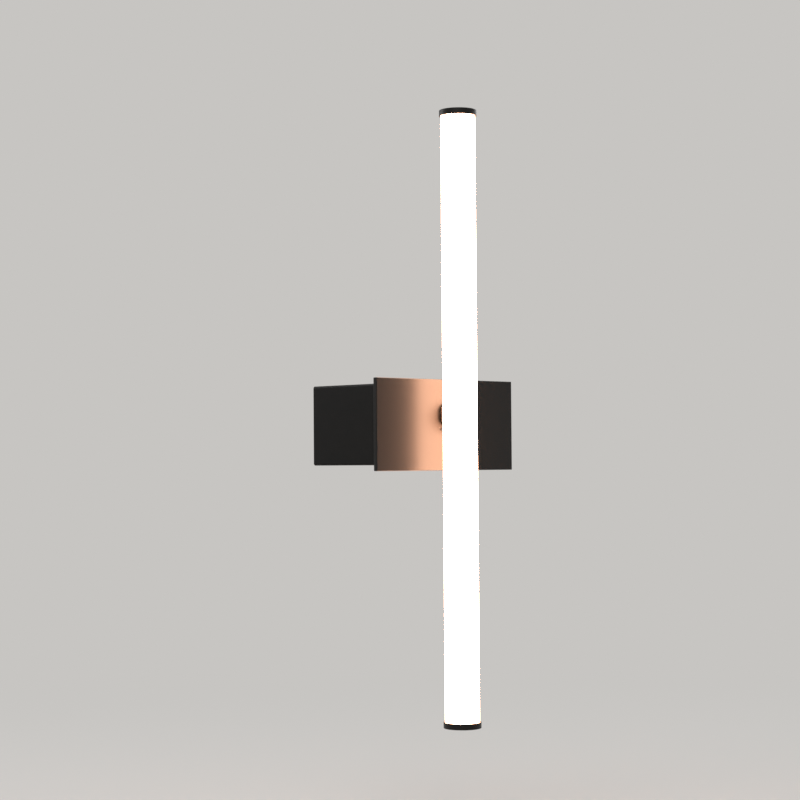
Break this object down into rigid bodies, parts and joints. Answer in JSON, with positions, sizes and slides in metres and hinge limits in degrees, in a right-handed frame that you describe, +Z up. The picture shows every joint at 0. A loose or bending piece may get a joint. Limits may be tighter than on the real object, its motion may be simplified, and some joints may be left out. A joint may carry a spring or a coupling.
{
  "type": "tube wall light",
  "caption": "Wall light with a slim opal LED tube that swivels on a friction joint in front of a flat black plate, fixed to a shallow black box that hides the driver.",
  "frame": {"origin": "centre of the housing's open back, on the wall, which is also the middle of the bracket's two screw slots", "axes": "+X to the right seen from the room, +Y into the wall, +Z up along the tube at rest"},
  "size_m": [0.168, 0.1205, 0.54],
  "materials": {
    "black_powder_coat": "satin powder coat",
    "satin_black_plate": "black anodised",
    "zinc_steel": "bright zinc",
    "zinc_sheet": "galvanised sheet",
    "black_rubber": "moulded",
    "black_screw": "black oxide",
    "black_nylon": "moulded",
    "spring_steel": "bare",
    "black_boss": "black anodised",
    "opal_diffuser": "opal acrylic, lit",
    "bare_aluminium": "extruded",
    "black_cap": "moulded, satin black",
    "white_board": "solder mask",
    "led_phosphor": "phosphor",
    "amber_film": "polyimide film",
    "white_nylon": "moulded",
    "red_lead": "insulation",
    "white_driver_plastic": "moulded",
    "green_board": "solder mask",
    "black_bobbin": "moulded",
    "capacitor_sleeve": "sleeve",
    "brass": "turned",
    "tinned_lug": "tinned",
    "blue_lead": "insulation",
    "brown_lead": "insulation",
    "green_yellow_lead": "insulation"
  },
  "bodies": {
    "wall_box": {"housing": "black_powder_coat", "front_plate": "satin_black_plate", "plate_screws": "zinc_steel", "stop_pin": "zinc_steel", "wall_bracket": "zinc_sheet", "cable_bushing": "black_rubber", "housing_screws": "black_screw", "friction_washer_front": "black_nylon", "friction_washer_rear": "black_nylon", "driver_case": "white_driver_plastic", "driver_lid": "white_driver_plastic", "driver_screws": "zinc_steel", "driver_board": "green_board", "board_screws": "zinc_steel", "driver_transformer": "black_bobbin", "driver_capacitors": "capacitor_sleeve", "input_connector": "white_nylon", "output_connector": "white_nylon", "terminal_block": "white_nylon", "terminal_barrels": "brass", "clamp_screws": "zinc_steel", "block_screws": "zinc_steel", "earth_stud": "brass", "earth_lug": "tinned_lug", "earth_nut": "brass", "neutral_lead": "blue_lead", "live_lead": "brown_lead", "earth_lead": "green_yellow_lead", "led_leads": "red_lead"},
    "lamp": {"thrust_washer": "zinc_steel", "disc_spring": "spring_steel", "lock_nut": "zinc_steel", "swivel_stem": "zinc_steel", "swivel_boss": "black_boss", "diffuser_tube": "opal_diffuser", "inner_saddle": "bare_aluminium", "carrier_bar": "bare_aluminium", "saddle_screws": "zinc_steel", "end_cap_upper": "black_cap", "end_cap_lower": "black_cap", "cap_screws": "black_screw", "led_strip_front": "white_board", "led_strip_rear_upper": "white_board", "led_strip_rear_lower": "white_board", "led_chips_front": "led_phosphor", "led_chips_rear": "led_phosphor", "strip_links": "amber_film", "board_connector": "white_nylon", "tube_leads": "red_lead"}
  },
  "joints": [
    {"name": "tube_swivel", "type": "hinge", "parent": "wall_box", "child": "lamp", "pos_m": [0, -0.087, 0.006], "axis": [0, -1, 0], "range_deg": [-163, 106]}
  ]
}
